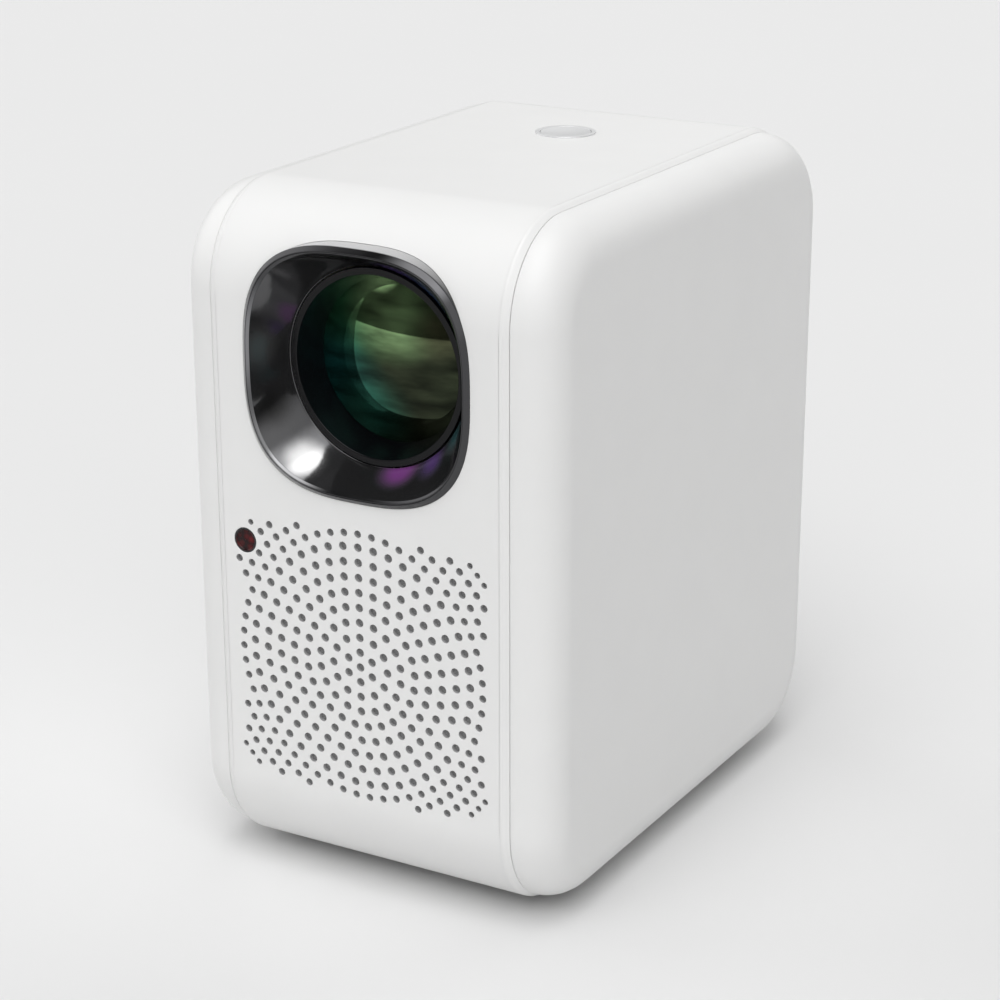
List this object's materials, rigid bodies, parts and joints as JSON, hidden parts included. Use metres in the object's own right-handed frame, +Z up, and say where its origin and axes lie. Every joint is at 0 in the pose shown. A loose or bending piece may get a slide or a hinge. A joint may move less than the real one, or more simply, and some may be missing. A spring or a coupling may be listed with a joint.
{
  "type": "home projector",
  "caption": "Upright home projector with a deep lens bezel, speaker grille, power key, focusing lens, LCD light engine and cooling fan.",
  "frame": {"origin": "centre of the bounding box at the bottom of the feet", "axes": "+Z up, the lens and grille face -Y, +X to the right seen from the front"},
  "size_m": [0.12, 0.1804, 0.2024],
  "materials": {
    "shell_white": "fine satin injection-moulded ABS",
    "rear_plastic": "fine texture",
    "foot_rubber": "matt",
    "brass_insert": "machined",
    "screw_steel": "black zinc",
    "bezel_chrome": "dark plated, polished",
    "funnel_gloss": "high gloss black",
    "ir_plastic": "dark red, translucent look",
    "button_silver": "satin light silver",
    "mesh_cloth": "fine woven acoustic cloth",
    "foam": "closed-cell foam",
    "black_plastic": "fine texture",
    "basket_steel": "black paint",
    "magnet_ferrite": "dark, matt",
    "cone_paper": "matt paper fibre",
    "surround_rubber": "satin",
    "coil_copper": "enamelled copper wire",
    "barrel_black": "fine matt black",
    "front_glass": "green anti-reflection coating",
    "lens_glass": "clear, coated",
    "gear_acetal": "natural acetal",
    "motor_steel": "drawn can",
    "mirror_glass": "front-surface mirror",
    "fresnel": "clear acrylic with fine grooves",
    "lcd": "dark panel glass",
    "polariser_glass": "grey film on glass",
    "reflector_white": "bright reflective coating",
    "copper": "bare copper",
    "phosphor": "yellow phosphor gel on white ceramic",
    "aluminium": "extruded, bare",
    "sheet_steel": "zinc plated sheet",
    "board_green": "solder mask",
    "board_tan": "phenolic board",
    "power_parts": "taped transformer, capacitors and coils",
    "connector_steel": "nickel plated",
    "socket_black": "moulded nylon"
  },
  "bodies": {
    "casing": {"band_shell": "shell_white", "left_panel": "shell_white", "right_panel": "shell_white", "rear_panel": "rear_plastic", "rubber_feet": "foot_rubber", "tripod_insert": "brass_insert", "case_screws": "screw_steel", "lens_bezel": "bezel_chrome", "lens_funnel": "funnel_gloss", "ir_window": "ir_plastic", "button_ring": "button_silver", "grille_mesh": "mesh_cloth", "speaker_gasket": "foam", "speaker_box": "black_plastic", "speaker_basket": "basket_steel", "speaker_magnet": "magnet_ferrite", "focus_motor": "motor_steel", "lens_holder": "black_plastic", "mirror_box": "black_plastic", "fold_mirror": "mirror_glass", "field_fresnel": "fresnel", "lcd_panel": "lcd", "polariser": "polariser_glass", "collimator_fresnel": "fresnel", "light_box": "black_plastic", "reflector": "reflector_white", "condenser_lens": "lens_glass", "led_board": "copper", "led_chip": "phosphor", "heat_sink": "aluminium", "heat_pipes": "copper", "engine_frame": "black_plastic", "fan_frame": "black_plastic", "fan_duct": "black_plastic", "board_bracket": "sheet_steel", "main_board": "board_green", "chip_cooler": "aluminium", "hdmi_port": "connector_steel", "usb_port": "connector_steel", "audio_jack": "socket_black", "power_board": "board_tan", "power_components": "power_parts", "power_inlet": "socket_black", "ir_receiver": "socket_black", "key_board": "board_green", "key_switch": "socket_black"},
    "power_button": {"power_button": "button_silver"},
    "focus_ring": {"focus_ring": "gear_acetal"},
    "lens_barrel": {"lens_barrel": "barrel_black", "lens_front_ring": "barrel_black", "front_element": "front_glass", "middle_element": "lens_glass", "rear_element": "lens_glass"},
    "focus_pinion": {"focus_pinion": "gear_acetal"},
    "fan_rotor": {"fan_rotor": "black_plastic"},
    "speaker_cone": {"speaker_cone": "cone_paper", "speaker_surround": "surround_rubber", "voice_coil": "coil_copper"}
  },
  "joints": [
    {"name": "power_button_press", "type": "slide", "parent": "casing", "child": "power_button", "axis": [0, 0, -1], "range_m": [0, 0.0008], "stiffness_N_per_m": 800, "springref_m": -0.0005},
    {"name": "focus_ring_turn", "type": "hinge", "parent": "casing", "child": "focus_ring", "pos_m": [0, -0.0609, 0.1558], "axis": [0, 1, 0], "range_deg": [-57.3, 57.3]},
    {"name": "lens_focus_slide", "type": "slide", "parent": "casing", "child": "lens_barrel", "axis": [0, 1, 0], "range_m": [-0.002, 0.002]},
    {"name": "focus_pinion_turn", "type": "hinge", "parent": "casing", "child": "focus_pinion", "pos_m": [-0.02636, -0.0609, 0.18216], "axis": [0, 1, 0], "range_deg": [-387, 387]},
    {"name": "fan_spin", "type": "hinge", "parent": "casing", "child": "fan_rotor", "pos_m": [0, 0.0675, 0.056], "axis": [0, 1, 0], "continuous": true},
    {"name": "speaker_cone_stroke", "type": "slide", "parent": "casing", "child": "speaker_cone", "axis": [0, -1, 0], "range_m": [-0.001, 0.001], "stiffness_N_per_m": 1200}
  ],
  "couplings": [
    {"joint": "focus_ring_turn", "follows": "lens_focus_slide", "rad_per_m": 500},
    {"joint": "focus_pinion_turn", "follows": "lens_focus_slide", "rad_per_m": -3375}
  ]
}
